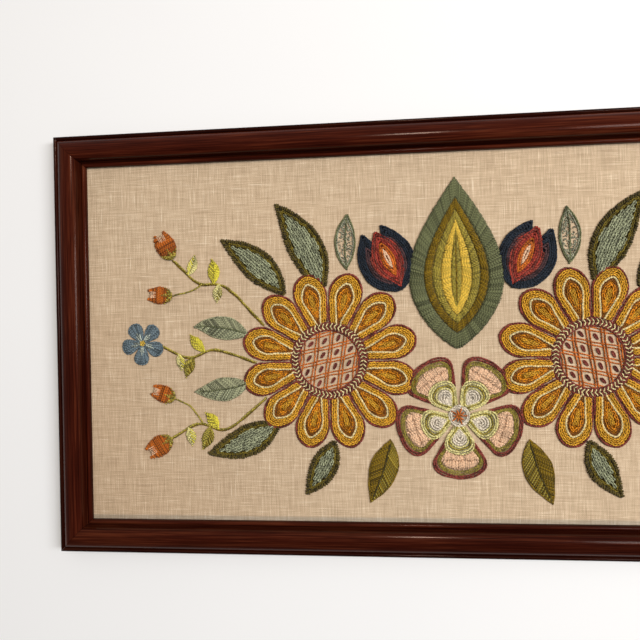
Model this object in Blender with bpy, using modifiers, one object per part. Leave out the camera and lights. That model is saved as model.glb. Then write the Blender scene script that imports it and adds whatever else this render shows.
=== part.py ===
"""Framed crewel embroidery panel, lying on its back.

A linen ground sits in the rabbet of four mitred mahogany-coloured rails, and
raised wool motifs lie on the linen. The picture's top points to +Y, its face
to +Z, and the origin is the centre of the back, on the resting plane.
Tables of motifs are in millimetres, for the left half of the picture where
x is negative; the right half is its mirror image.
"""
import math
from collections import namedtuple

import bmesh
import bpy
from mathutils import Vector

MM = 0.001
GAP = 0.3
COLLECTION = "crewel_embroidery_panel"

# Frame, in millimetres
SIGHT_WIDTH = 700.0
SIGHT_HEIGHT = 340.0
MOULDING = 29.0
RABBET_WIDTH = 5.5
RABBET_HEIGHT = 5.5
MITRE_SETBACK = GAP / 2 * math.sqrt(2)

# Moulding section: u runs inward from the outer edge, h up from the back
OUTER_BEAD_RADIUS = 1.8
OUTER_BEAD_HEIGHT = 12.6
QUIRK_U = 3.9
QUIRK_HEIGHT = 12.2
CUSHION_START = (4.3, 14.2)
CUSHION_CREST = (16.0, 19.6)
CUSHION_END = (23.2, 17.1)
STEP_FOOT = ((23.8, 11.4), (24.2, 9.5))
GROOVE = (24.9, 8.5)
LIP_BEAD_RADIUS = 2.0
LIP_BEAD_HEIGHT = 8.0

# Linen ground, in millimetres
LINEN_THICKNESS = 1.3
LINEN_TOP = RABBET_HEIGHT - GAP
LINEN_CELLS = (28, 14)
EDGE_WAVE = 0.35
EDGE_WAVE_REACH = 16.0
EDGE_WAVE_PITCH = 58.0

# Raised wool, in millimetres
WOOL_BASE = LINEN_TOP + GAP
EDGE_CHAMFER = 0.35
LEAF_STEPS = 10
SMALL_LEAF_STEPS = 6
SMALL_LEAF_BELLY = 0.5
STEM_WIDTH = 2.4
TWIG_WIDTH = 1.9
STEM_STEPS_PER_SPAN = 3
PIECE_STEP = 0.05
CUTTER_SPAN = (3.0, 12.0)
WELD_DISTANCE = 0.000005

YARN = {
    "gold": (0.54, 0.29, 0.035),
    "burgundy": (0.19, 0.045, 0.040),
    "brick": (0.25, 0.032, 0.026),
    "navy": (0.014, 0.022, 0.050),
    "rust": (0.42, 0.12, 0.030),
    "sage": (0.14, 0.19, 0.12),
    "olive": (0.21, 0.17, 0.035),
    "dark_olive": (0.085, 0.065, 0.018),
    "yellow": (0.70, 0.44, 0.11),
    "peach": (0.75, 0.36, 0.22),
    "pale": (0.72, 0.63, 0.30),
    "sky": (0.12, 0.19, 0.29),
    "grey": (0.29, 0.33, 0.27),
    "moss": (0.30, 0.29, 0.075),
}

Leaf = namedtuple("Leaf", "name x y heading length width bend belly height yarn behind")
SIDE_LEAVES = (
    Leaf("crown_leaf", -122, 44, 104, 98, 34, 28, 0.45, 1.4, "dark_olive", ("bloom_petals",)),
    Leaf("shoulder_leaf", -158, 42, 126, 84, 30, 26, 0.45, 1.4, "dark_olive", ("bloom_petals",)),
    Leaf("hip_leaf", -164, -76, 216, 80, 30, -26, 0.45, 1.4, "dark_olive", ("bloom_petals",)),
    Leaf("root_leaf", -114, -94, 252, 60, 26, -22, 0.45, 1.4, "dark_olive", ("bloom_petals",)),
    Leaf("upper_sage_leaf", -194, 6, 160, 54, 22, 22, 0.45, 1.2, "sage", ("bloom_petals",)),
    Leaf("lower_sage_leaf", -194, -40, 198, 54, 22, -20, 0.45, 1.2, "sage", ("bloom_petals",)),
    Leaf("foot_leaf", -62, -94, 258, 62, 26, -14, 0.45, 1.4, "olive", ("bloom_petals", "rose_petals")),
    Leaf("grey_leaf", -100, 64, 96, 54, 20, -16, 0.48, 1.1, "grey", ()),
    Leaf("tulip_outer_petal", -50, 44, 146, 66, 30, -46, 0.45, 1.6, "navy",
         ("tulip_heart", "tulip_inner_petal")),
    Leaf("tulip_inner_petal", -50, 44, 84, 66, 30, 46, 0.45, 1.6, "navy",
         ("tulip_heart", "bud_sheath")),
    Leaf("tulip_heart", -50, 47, 114, 58, 28, 0, 0.50, 1.8, "brick", ("bud_sheath",)),
)

Teardrop = namedtuple("Teardrop", "name y length width height yarn")
BUD = (
    Teardrop("bud_sheath", -11, 158, 86, 1.5, "sage"),
    Teardrop("bud_band", 4, 124, 58, 1.4, "olive"),
    Teardrop("bud_heart", 20, 88, 28, 1.7, "yellow"),
)
BUD_BELLY = 0.42

Bloom = namedtuple("Bloom", "petals inner outer turn roundness")
GOLD_CENTRE = (-118, -20)
GOLD_PETALS = Bloom(12, 60, 84, 0, 0.62)
GOLD_HEIGHT = 1.6
GOLD_STEPS_PER_PETAL = 6
COLLAR_OUTER = 36.0
COLLAR_INNER = 28.0
COLLAR_HEIGHT = 1.3
ROUND_STEPS = 24

ROSE_CENTRE = (0, -72)
ROSE_PETALS = Bloom(5, 38, 58, 18, 0.55)
ROSE_HEART = Bloom(5, 20, 36, 18, 0.55)
ROSE_EYE_RADIUS = 10.0
ROSE_HEIGHTS = (1.6, 1.5, 1.8)
ROSE_STEPS_PER_PETAL = 9

BLOSSOM_CENTRE = (-297, -1)
BLOSSOM = Bloom(5, 9, 21, 12, 0.60)
BLOSSOM_HEIGHT = 1.4
BLOSSOM_STEPS_PER_PETAL = 7

Cup = namedtuple("Cup", "name x y heading length width")
CUPS = (
    Cup("upper_cup", -266, 79, 118, 28, 20),
    Cup("low_upper_cup", -267, 44, 176, 24, 17),
    Cup("lower_cup", -270, -92, 212, 28, 20),
    Cup("high_lower_cup", -266, -54, 160, 24, 17),
)
CUP_HEIGHT = 1.4
CUP_SIDE_STEPS = 6
CUP_FOOT = 0.6
CUP_FULLNESS = 0.8
CUP_BELLY_POWER = 0.7
CUP_NOTCH = (0.80, 0.13)
CUP_MIDDLE_TIP = 0.94

SmallLeaf = namedtuple("SmallLeaf", "at heading length width bend")
Spray = namedtuple("Spray", "name stem twig_at twig leaves")
SPRAYS = (
    Spray("upper_spray",
          ((-179, 15), (-214, 51), (-241, 56), (-263, 76)),
          0.62, ((-249, 48), (-263, 45)),
          (SmallLeaf(0.48, 84, 26, 12, 20), SmallLeaf(0.80, 60, 22, 10, 24),
           SmallLeaf(0.40, 246, 20, 10, 26))),
    Spray("middle_spray",
          ((-188, -20), (-226, -8), (-252, -15), (-275, -5)),
          None, (),
          (SmallLeaf(0.45, 140, 24, 11, -20), SmallLeaf(0.60, 236, 24, 11, 24),
           SmallLeaf(0.80, 290, 18, 9, -20))),
    Spray("lower_spray",
          ((-179, -55), (-216, -83), (-243, -78), (-267, -90)),
          0.62, ((-250, -63), (-263, -56)),
          (SmallLeaf(0.44, 118, 22, 11, 20), SmallLeaf(0.52, 262, 26, 12, -24),
           SmallLeaf(0.80, 290, 20, 10, -20))),
)
SPRAY_HEIGHT = 0.9


# Outlines, as lists of (x, y) in millimetres

def blade(x, y, heading, length, width, bend, belly, steps):
    """A pointed leaf whose centre line turns by bend degrees from base to tip."""
    power = math.log(0.5) / math.log(belly)
    stride = length / steps
    left = []
    right = []
    for i in range(steps + 1):
        along = i / steps
        angle = math.radians(heading + bend * along)
        half = width / 2 * math.sin(math.pi * along ** power)
        nx, ny = -math.sin(angle), math.cos(angle)
        left.append((x + nx * half, y + ny * half))
        right.append((x - nx * half, y - ny * half))
        middle = math.radians(heading + bend * (along + 0.5 / steps))
        x += math.cos(middle) * stride
        y += math.sin(middle) * stride
    return left + right[-2:0:-1]


def bloom(centre, form, steps_per_petal):
    """A round flower edge with equal lobes and a notch between each pair."""
    outline = []
    count = form.petals * steps_per_petal
    for i in range(count):
        angle = math.radians(form.turn) + 2 * math.pi * i / count
        swell = abs(math.sin(form.petals / 2 * (angle - math.radians(form.turn))))
        radius = form.inner + (form.outer - form.inner) * swell ** form.roundness
        outline.append((centre[0] + radius * math.cos(angle), centre[1] + radius * math.sin(angle)))
    return outline


def ring(centre, radius, steps=ROUND_STEPS):
    """A regular polygon that stands for a circle."""
    turns = [2 * math.pi * i / steps for i in range(steps)]
    return [(centre[0] + radius * math.cos(a), centre[1] + radius * math.sin(a)) for a in turns]


def cup_outline(cup):
    """A small tulip form: two full sides, two outer tips and a middle one."""
    side = []
    for i in range(1, CUP_SIDE_STEPS + 1):
        along = i / CUP_SIDE_STEPS
        swell = math.sin(math.pi * CUP_FULLNESS * along ** CUP_BELLY_POWER)
        side.append((cup.length * along, cup.width / 2 * swell))
    notch = (cup.length * CUP_NOTCH[0], cup.width * CUP_NOTCH[1])
    half = [(0, CUP_FOOT)] + side + [notch, (cup.length * CUP_MIDDLE_TIP, 0)]
    local = half + [(t, -w) for t, w in half[-2::-1]]
    angle = math.radians(cup.heading)
    c, s = math.cos(angle), math.sin(angle)
    return [(cup.x + c * t - s * w, cup.y + s * t + c * w) for t, w in local]


def smooth_path(points, steps):
    """Points on a smooth curve through the given ones."""
    first = [2 * a - b for a, b in zip(points[0], points[1])]
    last = [2 * a - b for a, b in zip(points[-1], points[-2])]
    knots = [first, *points, last]
    path = []
    for i in range(1, len(knots) - 2):
        p0, p1, p2, p3 = knots[i - 1:i + 3]
        for k in range(steps):
            t = k / steps
            path.append(tuple(
                0.5 * (2 * b + (c - a) * t + (2 * a - 5 * b + 4 * c - d) * t ** 2
                       + (3 * b - a - 3 * c + d) * t ** 3)
                for a, b, c, d in zip(p0, p1, p2, p3)))
    path.append(tuple(points[-1]))
    return path


def point_at(points, fraction):
    """The point a fraction of the way along the smooth path through the given points."""
    path = smooth_path(points, STEM_STEPS_PER_SPAN * 4)
    return path[round(fraction * (len(path) - 1))]


def normals_along(points, closed):
    """Unit normals to the left of each point of a path or outline."""
    count = len(points)
    result = []
    for i in range(count):
        before = points[i - 1] if closed or i > 0 else points[i]
        after = points[(i + 1) % count] if closed or i < count - 1 else points[i]
        dx, dy = after[0] - before[0], after[1] - before[1]
        size = math.hypot(dx, dy)
        result.append((-dy / size, dx / size))
    return result


def ribbon(points, width):
    """A band of even width along a smooth path."""
    path = smooth_path(points, STEM_STEPS_PER_SPAN)
    sides = list(zip(path, normals_along(path, closed=False)))
    left = [(x + nx * width / 2, y + ny * width / 2) for (x, y), (nx, ny) in sides]
    right = [(x - nx * width / 2, y - ny * width / 2) for (x, y), (nx, ny) in sides]
    return left + right[::-1]


def signed_area(outline):
    """Positive where the outline runs anticlockwise."""
    following = outline[1:] + outline[:1]
    return sum(ax * by - bx * ay for (ax, ay), (bx, by) in zip(outline, following)) / 2


def grown(outline, distance):
    """The outline moved outward by a distance, or inward where it is negative."""
    side = -1 if signed_area(outline) > 0 else 1
    pairs = zip(outline, normals_along(outline, closed=True))
    return [(x + side * nx * distance, y + side * ny * distance) for (x, y), (nx, ny) in pairs]


def mirrored(outline):
    """The same outline on the right half of the picture."""
    return [(-x, y) for x, y in outline]


# Blender objects

def clear_scene():
    """Remove whatever the scene holds."""
    for item in list(bpy.data.objects):
        bpy.data.objects.remove(item, do_unlink=True)


def new_collection(name):
    collection = bpy.data.collections.new(name)
    bpy.context.scene.collection.children.link(collection)
    return collection


def material(name, colour, roughness, coat=0.0):
    """A named Principled surface."""
    existing = bpy.data.materials.get(name)
    if existing:
        return existing
    made = bpy.data.materials.new(name)
    made.use_nodes = True
    shader = made.node_tree.nodes["Principled BSDF"]
    shader.inputs["Base Color"].default_value = (*colour, 1.0)
    shader.inputs["Roughness"].default_value = roughness
    shader.inputs["Coat Weight"].default_value = coat
    made.diffuse_color = (*colour, 1.0)
    return made


def wool(yarn):
    return material("wool_" + yarn, YARN[yarn], 0.9)


def outline_mesh(name, outlines, low, high, chamfer=0.0):
    """A closed mesh object: filled outlines from one height to another."""
    curve = bpy.data.curves.new(name, "CURVE")
    curve.dimensions = "2D"
    curve.fill_mode = "BOTH"
    curve.extrude = ((high - low) / 2 - chamfer) * MM
    curve.bevel_depth = chamfer * MM
    curve.bevel_resolution = 0
    curve.offset = -chamfer * MM
    for outline in outlines:
        spline = curve.splines.new("POLY")
        spline.points.add(len(outline) - 1)
        for point, (x, y) in zip(spline.points, outline):
            point.co = (x * MM, y * MM, 0, 1)
        spline.use_cyclic_u = True
    drawn = bpy.data.objects.new(name, curve)
    drawn.location.z = (low + high) / 2 * MM
    bpy.context.scene.collection.objects.link(drawn)
    bpy.context.view_layer.update()
    graph = bpy.context.evaluated_depsgraph_get()
    mesh = bpy.data.meshes.new_from_object(drawn.evaluated_get(graph))
    mesh.transform(drawn.matrix_world)
    bpy.data.objects.remove(drawn)
    bpy.data.curves.remove(curve)
    work = bmesh.new()
    work.from_mesh(mesh)
    bmesh.ops.remove_doubles(work, verts=work.verts, dist=WELD_DISTANCE)
    bmesh.ops.recalc_face_normals(work, faces=work.faces)
    work.to_mesh(mesh)
    work.free()
    mesh.name = name
    return bpy.data.objects.new(name, mesh)


class Panel:
    """The panel's objects, its cutters, and the outlines already laid out."""

    def __init__(self):
        self.parts = new_collection(COLLECTION)
        self.cutters = new_collection("cutters")
        self.outlines = {}

    def add(self, thing, surface):
        thing.data.materials.clear()
        thing.data.materials.append(surface)
        self.parts.objects.link(thing)
        return thing

    def hide(self, thing):
        thing.hide_render = True
        thing.display_type = "WIRE"
        self.cutters.objects.link(thing)
        return thing

    def motif(self, name, outlines, height, yarn, base=WOOL_BASE):
        """One raised area of stitching."""
        self.outlines[name] = outlines[0]
        solid = outline_mesh(name, outlines, base, base + height, EDGE_CHAMFER)
        return self.add(solid, wool(yarn))

    def boolean(self, target, other, operation):
        modifier = target.modifiers.new(operation.lower() + "_" + other.name, "BOOLEAN")
        modifier.object = other
        modifier.operation = operation
        modifier.solver = "EXACT"

    def tuck_behind(self, target, front):
        """Trim a motif where another one lies over it."""
        name = "edge_of_" + front
        cutter = bpy.data.objects.get(name)
        if cutter is None:
            cutter = self.hide(outline_mesh(name, [grown(self.outlines[front], GAP)], *CUTTER_SPAN))
        self.boolean(target, cutter, "DIFFERENCE")


# The frame

def arc(centre, radius, start, end, steps):
    """Points on an arc, with angles in degrees."""
    angles = [math.radians(start + (end - start) * i / steps) for i in range(steps + 1)]
    return [(centre[0] + radius * math.cos(a), centre[1] + radius * math.sin(a)) for a in angles]


def crown(foot, crest, steps):
    """An arc from a foot up to the crest, where it runs level."""
    across, rise = crest[0] - foot[0], crest[1] - foot[1]
    radius = (across ** 2 + rise ** 2) / (2 * rise)
    centre = (crest[0], crest[1] - radius)
    first = math.degrees(math.atan2(foot[1] - centre[1], foot[0] - centre[0]))
    return arc(centre, radius, first, 90, steps)


def moulding_section():
    """The closed section of a rail, from its back outer corner."""
    outer_bead = arc((OUTER_BEAD_RADIUS, OUTER_BEAD_HEIGHT), OUTER_BEAD_RADIUS, 180, 15, steps=5)
    quirk = [(QUIRK_U, QUIRK_HEIGHT)]
    cushion = crown(CUSHION_START, CUSHION_CREST, steps=8)
    cushion += crown(CUSHION_END, CUSHION_CREST, steps=4)[-2::-1]
    lip_centre = (MOULDING - LIP_BEAD_RADIUS, LIP_BEAD_HEIGHT)
    lip = arc(lip_centre, LIP_BEAD_RADIUS, 150, 0, steps=6)
    rabbet = [(MOULDING, RABBET_HEIGHT), (MOULDING - RABBET_WIDTH, RABBET_HEIGHT),
              (MOULDING - RABBET_WIDTH, 0)]
    return [(0, 0)] + outer_bead + quirk + cushion + list(STEP_FOOT) + [GROOVE] + lip + rabbet


def rail(panel, name, outer_length, middle, turn):
    """One mitred rail: the section extruded along its length, ends at 45 degrees."""
    solid = outline_mesh(name, [moulding_section()], -1.0, 1.0)
    for vertex in solid.data.vertices:
        inward, height, side = vertex.co
        reach = outer_length / 2 * MM - inward - MITRE_SETBACK * MM
        vertex.co = (math.copysign(reach, side), -inward, height)
    solid.data.flip_normals()
    solid.location = Vector((*middle, 0)) * MM
    solid.rotation_euler.z = math.radians(turn)
    solid.data.shade_smooth()
    solid.data.set_sharp_from_angle(angle=math.radians(40))
    return panel.add(solid, material("mahogany", (0.045, 0.012, 0.006), 0.28, 0.6))


def frame_rails(panel):
    width = SIGHT_WIDTH + 2 * MOULDING
    height = SIGHT_HEIGHT + 2 * MOULDING
    rail(panel, "top_rail", width, (0, height / 2), 0)
    rail(panel, "bottom_rail", width, (0, -height / 2), 180)
    rail(panel, "left_stile", height, (-width / 2, 0), 90)
    rail(panel, "right_stile", height, (width / 2, 0), 270)


# The linen

def linen_ground(panel):
    """A flat cut of linen that dips slightly between its fixings at the edge."""
    half_width = SIGHT_WIDTH / 2 + RABBET_WIDTH - GAP
    half_height = SIGHT_HEIGHT / 2 + RABBET_WIDTH - GAP
    bpy.ops.mesh.primitive_grid_add(x_subdivisions=LINEN_CELLS[0], y_subdivisions=LINEN_CELLS[1],
                                    size=2)
    sheet = bpy.context.object
    sheet.name = "linen_ground"
    for collection in list(sheet.users_collection):
        collection.objects.unlink(sheet)
    for vertex in sheet.data.vertices:
        x = vertex.co.x * half_width
        y = vertex.co.y * half_height
        inset = min(half_width - abs(x), half_height - abs(y))
        nearness = max(0.0, 1 - inset / EDGE_WAVE_REACH)
        wave = 0.5 - 0.5 * math.cos(2 * math.pi * (x + 0.6 * y) / EDGE_WAVE_PITCH)
        vertex.co = Vector((x, y, LINEN_TOP - EDGE_WAVE * nearness * wave)) * MM
    body = sheet.modifiers.new("thickness", "SOLIDIFY")
    body.thickness = LINEN_THICKNESS * MM
    body.offset = -1
    return panel.add(sheet, material("linen", (0.55, 0.42, 0.29), 0.95))


# The wool

def leaf_outline(leaf):
    return blade(leaf.x, leaf.y, leaf.heading, leaf.length, leaf.width, leaf.bend, leaf.belly, LEAF_STEPS)


def bud(panel):
    """Three nested teardrops on the centre line, each with room for the next."""
    outlines = [blade(0, drop.y, 90, drop.length, drop.width, 0, BUD_BELLY, LEAF_STEPS) for drop in BUD]
    for i, drop in enumerate(BUD):
        shape = [outlines[i]]
        if i + 1 < len(BUD):
            shape.append(grown(outlines[i + 1], GAP))
        panel.motif(drop.name, shape, drop.height, drop.yarn)


def rose(panel):
    """A five-petalled rose below the bud, with a paler heart and a round eye."""
    petals = bloom(ROSE_CENTRE, ROSE_PETALS, ROSE_STEPS_PER_PETAL)
    heart = bloom(ROSE_CENTRE, ROSE_HEART, ROSE_STEPS_PER_PETAL)
    eye = ring(ROSE_CENTRE, ROSE_EYE_RADIUS)
    panel.motif("rose_petals", [petals, grown(heart, GAP)], ROSE_HEIGHTS[0], "peach")
    panel.motif("rose_heart", [heart, grown(eye, GAP)], ROSE_HEIGHTS[1], "pale")
    panel.motif("rose_eye", [eye], ROSE_HEIGHTS[2], "rust")


def gold_bloom(panel, side, place):
    """A many-petalled bloom with a burgundy collar round an open linen middle."""
    petals = place(bloom(GOLD_CENTRE, GOLD_PETALS, GOLD_STEPS_PER_PETAL))
    collar = place(ring(GOLD_CENTRE, COLLAR_OUTER))
    opening = place(ring(GOLD_CENTRE, COLLAR_INNER))
    solid = panel.motif(side + "bloom_petals", [petals, grown(collar, GAP)], GOLD_HEIGHT, "gold")
    panel.tuck_behind(solid, "rose_petals")
    panel.motif(side + "bloom_collar", [collar, opening], COLLAR_HEIGHT, "burgundy")


def side_leaves(panel, side, place):
    for leaf in SIDE_LEAVES:
        panel.outlines[side + leaf.name] = place(leaf_outline(leaf))
    for leaf in SIDE_LEAVES:
        name = side + leaf.name
        solid = panel.motif(name, [panel.outlines[name]], leaf.height, leaf.yarn)
        for front in leaf.behind:
            shared = front in panel.outlines
            panel.tuck_behind(solid, front if shared else side + front)


def spray(panel, side, place, row):
    """A stem with its twig and small leaves, joined into one piece."""
    solid = panel.motif(side + row.name, [place(ribbon(row.stem, STEM_WIDTH))], SPRAY_HEIGHT, "moss")
    pieces = []
    if row.twig:
        pieces.append(ribbon((point_at(row.stem, row.twig_at), *row.twig), TWIG_WIDTH))
    for leaf in row.leaves:
        x, y = point_at(row.stem, leaf.at)
        angle = math.radians(leaf.heading)
        x -= math.cos(angle) * STEM_WIDTH
        y -= math.sin(angle) * STEM_WIDTH
        pieces.append(blade(x, y, leaf.heading, leaf.length, leaf.width, leaf.bend,
                            SMALL_LEAF_BELLY, SMALL_LEAF_STEPS))
    for i, outline in enumerate(pieces, 1):
        base = WOOL_BASE + PIECE_STEP * i
        piece = outline_mesh(f"{side}{row.name}_piece_{i}", [place(outline)], base,
                             base + SPRAY_HEIGHT, EDGE_CHAMFER)
        panel.boolean(solid, panel.hide(piece), "UNION")


def blossoms_and_cups(panel, side, place):
    edge = bloom(BLOSSOM_CENTRE, BLOSSOM, BLOSSOM_STEPS_PER_PETAL)
    panel.motif(side + "blossom", [place(edge)], BLOSSOM_HEIGHT, "sky")
    for cup in CUPS:
        panel.motif(side + cup.name, [place(cup_outline(cup))], CUP_HEIGHT, "rust")


def build():
    clear_scene()
    panel = Panel()
    frame_rails(panel)
    linen_ground(panel)
    bud(panel)
    rose(panel)
    for side, place in (("left_", list), ("right_", mirrored)):
        gold_bloom(panel, side, place)
        side_leaves(panel, side, place)
        blossoms_and_cups(panel, side, place)
        for row in SPRAYS:
            spray(panel, side, place, row)


build()
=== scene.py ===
"""Framed crewel embroidery panel: linen, wool stitches worked one by one, and a lacquered frame.

Lengths in the tables and in the stitch code are millimetres; MM turns them into metres.
Tables of motifs describe the left half of the picture; the right half is its mirror image.
"""
import math
from collections import namedtuple

import bmesh
import bpy
import numpy as np
from mathutils import Matrix, Vector


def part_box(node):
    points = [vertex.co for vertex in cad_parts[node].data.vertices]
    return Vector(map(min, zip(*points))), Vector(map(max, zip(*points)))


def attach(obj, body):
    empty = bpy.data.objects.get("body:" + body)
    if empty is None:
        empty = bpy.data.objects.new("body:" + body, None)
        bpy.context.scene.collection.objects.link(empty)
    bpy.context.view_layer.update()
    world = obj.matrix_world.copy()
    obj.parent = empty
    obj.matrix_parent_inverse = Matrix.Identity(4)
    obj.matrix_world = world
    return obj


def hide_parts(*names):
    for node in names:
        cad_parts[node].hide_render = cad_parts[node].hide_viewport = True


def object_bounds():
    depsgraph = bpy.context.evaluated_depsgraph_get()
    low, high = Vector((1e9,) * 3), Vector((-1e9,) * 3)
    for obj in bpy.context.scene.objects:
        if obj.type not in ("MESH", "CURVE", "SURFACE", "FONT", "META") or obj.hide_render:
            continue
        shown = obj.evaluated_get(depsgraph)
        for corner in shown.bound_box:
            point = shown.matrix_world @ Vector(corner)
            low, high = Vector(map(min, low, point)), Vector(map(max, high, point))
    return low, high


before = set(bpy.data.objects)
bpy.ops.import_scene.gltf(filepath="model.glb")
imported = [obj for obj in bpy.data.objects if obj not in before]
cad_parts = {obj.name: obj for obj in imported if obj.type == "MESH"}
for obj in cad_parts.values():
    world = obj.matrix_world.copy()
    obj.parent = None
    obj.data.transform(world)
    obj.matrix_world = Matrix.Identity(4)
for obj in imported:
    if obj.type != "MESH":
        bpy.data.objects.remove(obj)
CAD_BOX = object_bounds()

MM = 0.001
LINEN_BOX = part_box("linen_ground")
LINEN_TOP = LINEN_BOX[1][2] / MM
SIGHT_HALF_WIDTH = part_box("right_stile")[0][0] / MM
SIGHT_HALF_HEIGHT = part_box("top_rail")[0][1] / MM
OUTER_HALF_WIDTH = CAD_BOX[1][0] / MM
OUTER_HALF_HEIGHT = CAD_BOX[1][1] / MM

rng = np.random.default_rng(41)
HALVES = (("left_", False), ("right_", True))

# Motif tables, as in the part's source

Leaf = namedtuple("Leaf", "name x y heading length width bend belly")
LEAVES = {leaf.name: leaf for leaf in (
    Leaf("crown_leaf", -122, 44, 104, 98, 34, 28, 0.45),
    Leaf("shoulder_leaf", -158, 42, 126, 84, 30, 26, 0.45),
    Leaf("hip_leaf", -164, -76, 216, 80, 30, -26, 0.45),
    Leaf("root_leaf", -114, -94, 252, 60, 26, -22, 0.45),
    Leaf("upper_sage_leaf", -194, 6, 160, 54, 22, 22, 0.45),
    Leaf("lower_sage_leaf", -194, -40, 198, 54, 22, -20, 0.45),
    Leaf("foot_leaf", -62, -94, 258, 62, 26, -14, 0.45),
    Leaf("grey_leaf", -100, 64, 96, 54, 20, -16, 0.48),
    Leaf("tulip_outer_petal", -50, 44, 146, 66, 30, -46, 0.45),
    Leaf("tulip_inner_petal", -50, 44, 84, 66, 30, 46, 0.45),
    Leaf("tulip_heart", -50, 47, 114, 58, 28, 0, 0.50),
)}
BUD_SHEATH = Leaf("bud_sheath", 0, -11, 90, 158, 86, 0, 0.42)
BUD_BAND = Leaf("bud_band", 0, 4, 90, 124, 58, 0, 0.42)
BUD_HEART = Leaf("bud_heart", 0, 20, 90, 88, 28, 0, 0.42)

Bloom = namedtuple("Bloom", "x y petals inner outer turn roundness")
GOLD = Bloom(-118, -20, 12, 60, 84, 0, 0.62)
COLLAR_OUTER = 36.0
COLLAR_INNER = 28.0
ROSE = Bloom(0, -72, 5, 38, 58, 18, 0.55)
ROSE_HEART = Bloom(0, -72, 5, 20, 36, 18, 0.55)
ROSE_EYE = 10.0
BLOSSOM = Bloom(-297, -1, 5, 9, 21, 12, 0.60)

Cup = namedtuple("Cup", "name x y heading length width")
CUPS = (
    Cup("upper_cup", -266, 79, 118, 28, 20),
    Cup("low_upper_cup", -267, 44, 176, 24, 17),
    Cup("lower_cup", -270, -92, 212, 28, 20),
    Cup("high_lower_cup", -266, -54, 160, 24, 17),
)
CUP_FULLNESS = 0.8
CUP_BELLY_POWER = 0.7

SmallLeaf = namedtuple("SmallLeaf", "at heading length width bend yarns")
Spray = namedtuple("Spray", "name stem twig_at twig leaves")
SPRAYS = (
    Spray("upper_spray",
          ((-179, 15), (-214, 51), (-241, 56), (-263, 76)),
          0.62, ((-249, 48), (-263, 45)),
          (SmallLeaf(0.48, 84, 26, 12, 20, ("lime", "moss")),
           SmallLeaf(0.80, 60, 22, 10, 24, ("pale", "lime")),
           SmallLeaf(0.40, 246, 20, 10, 26, ("pale", "moss")))),
    Spray("middle_spray",
          ((-188, -20), (-226, -8), (-252, -15), (-275, -5)),
          None, (),
          (SmallLeaf(0.45, 140, 24, 11, -20, ("lime", "moss")),
           SmallLeaf(0.60, 236, 24, 11, 24, ("moss", "olive")),
           SmallLeaf(0.80, 290, 18, 9, -20, ("pale", "lime")))),
    Spray("lower_spray",
          ((-179, -55), (-216, -83), (-243, -78), (-267, -90)),
          0.62, ((-250, -63), (-263, -56)),
          (SmallLeaf(0.44, 118, 22, 11, 20, ("lime", "moss")),
           SmallLeaf(0.52, 262, 26, 12, -24, ("moss", "olive")),
           SmallLeaf(0.80, 290, 20, 10, -20, ("pale", "lime")))),
)

# Wool colours, linear
YARN = {
    "gold": (0.90, 0.475, 0.038),
    "amber": (0.72, 0.265, 0.009),
    "brown": (0.36, 0.125, 0.014),
    "cream": (0.96, 0.80, 0.42),
    "burgundy": (0.235, 0.048, 0.034),
    "brick": (0.35, 0.044, 0.028),
    "navy": (0.014, 0.022, 0.036),
    "plum": (0.080, 0.038, 0.042),
    "rust": (0.52, 0.135, 0.013),
    "lattice": (0.66, 0.175, 0.026),
    "sage": (0.168, 0.184, 0.086),
    "grey_sage": (0.365, 0.375, 0.228),
    "olive": (0.235, 0.148, 0.006),
    "light_olive": (0.38, 0.303, 0.048),
    "dark_olive": (0.092, 0.068, 0.014),
    "leaf_gold": (0.225, 0.170, 0.018),
    "teal": (0.38, 0.41, 0.26),
    "lime": (0.93, 0.82, 0.080),
    "pale": (0.86, 0.78, 0.34),
    "white": (0.97, 0.86, 0.69),
    "yellow": (0.97, 0.66, 0.090),
    "sky": (0.165, 0.225, 0.265),
    "pale_blue": (0.46, 0.52, 0.46),
    "peach": (0.99, 0.655, 0.425),
    "grey": (0.36, 0.37, 0.26),
    "moss": (0.42, 0.35, 0.060),
}


# Camera: the photograph's own, recovered from the frame's corners and rails

CAMERA_PLACE = (-0.0904, 0.0179, 0.4542)
CAMERA_YAW = 4.50
CAMERA_PITCH = 0.035
CAMERA_ROLL = -1.15
FOCAL_PIXELS = 481.0
PHOTO_PIXELS = 640.0
SENSOR = 36.0


def make_camera():
    data = bpy.data.cameras.new("camera")
    data.sensor_width = SENSOR
    data.sensor_fit = "HORIZONTAL"
    data.lens = SENSOR * FOCAL_PIXELS / PHOTO_PIXELS
    data.clip_start = 0.01
    camera = bpy.data.objects.new("camera", data)
    bpy.context.scene.collection.objects.link(camera)
    turn = (Matrix.Rotation(math.radians(CAMERA_YAW), 4, "Y")
            @ Matrix.Rotation(math.radians(CAMERA_PITCH), 4, "X")
            @ Matrix.Rotation(math.radians(CAMERA_ROLL), 4, "Z"))
    camera.matrix_world = Matrix.Translation(CAMERA_PLACE) @ turn
    bpy.context.scene.camera = camera


# Light from the room: dim from below the picture, brighter from above it
WORLD_TONES = ((0.15, (0.12, 0.117, 0.113)), (0.50, (0.33, 0.325, 0.316)), (0.85, (0.58, 0.56, 0.53)))

Light = namedtuple("Light", "name place size power colour")
LIGHTS = (
    Light("soft_box", (1.70, 0.25, 1.90), (0.6, 1.5), 47.0, (1.0, 0.995, 0.985)),
    Light("lamp", (0.27, 1.10, 2.50), (0.26, 0.26), 22.0, (1.0, 0.86, 0.72)),
)


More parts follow.
